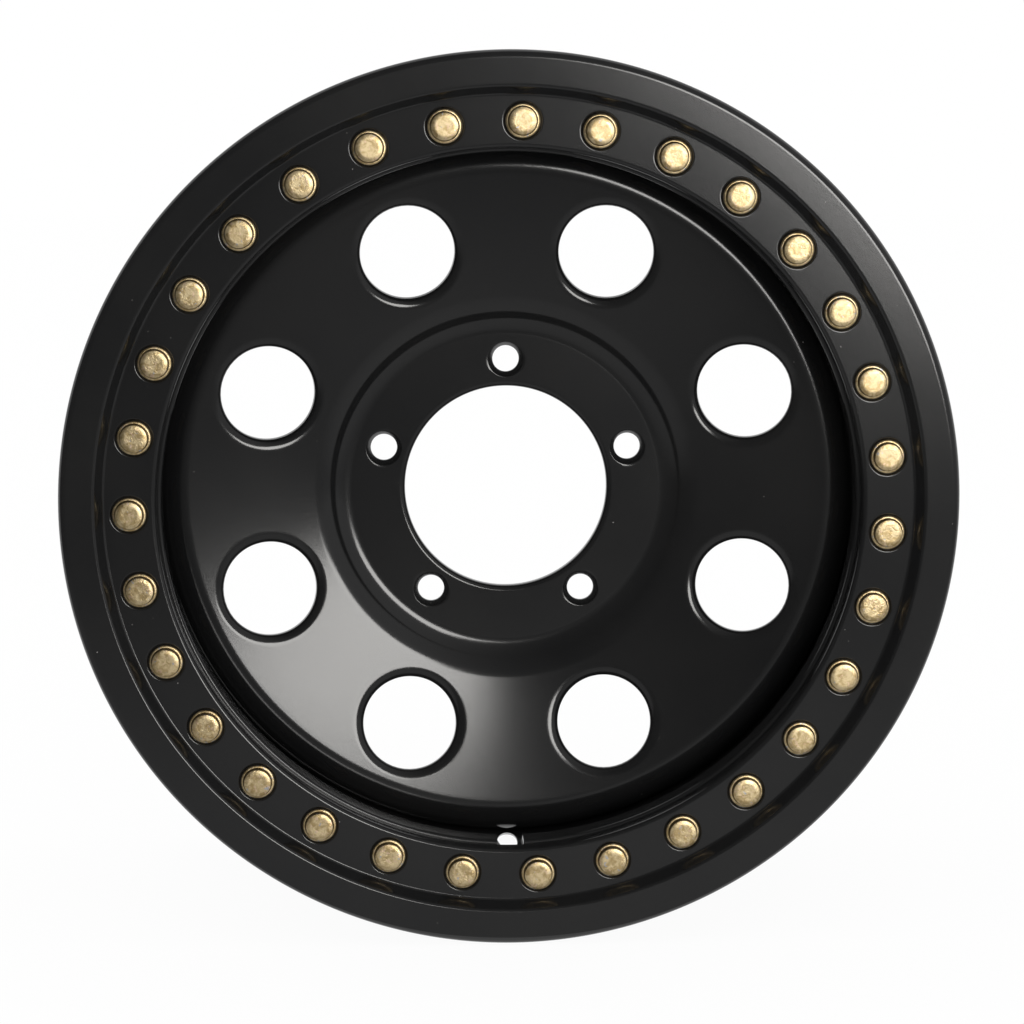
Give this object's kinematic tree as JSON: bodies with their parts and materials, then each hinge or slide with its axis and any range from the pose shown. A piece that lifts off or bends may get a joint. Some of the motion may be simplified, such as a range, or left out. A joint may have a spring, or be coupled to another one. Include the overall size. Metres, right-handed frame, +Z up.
{
  "type": "beadlock wheel",
  "caption": "Black steel off-road wheel with round windows, a deep bore and a bolted outer clamp ring that locks the tyre's outer bead.",
  "frame": {"origin": "centre of the hub bore on the disc's rear face, which seats on the hub", "axes": "+Y along the axle towards the vehicle, -Y out of the wheel's face, +Z up; the valve hole is at -Z"},
  "size_m": [0.4712, 0.2381, 0.471],
  "materials": {
    "powder_coat": "satin black powder coat with a fine grain over steel",
    "coated_weld": "satin black powder coat over a rippled weld bead",
    "plated_steel": "yellow zinc plate, mottled"
  },
  "bodies": {
    "root": {"clamp_ring": "powder_coat", "inner_lock_ring": "powder_coat", "rim_barrel": "powder_coat", "centre_disc": "powder_coat", "ring_weld": "coated_weld", "disc_welds": "coated_weld", "clamp_bolts": "plated_steel", "bolt_washers": "plated_steel", "nut_washers": "plated_steel", "lock_nuts": "plated_steel"}
  },
  "joints": []
}
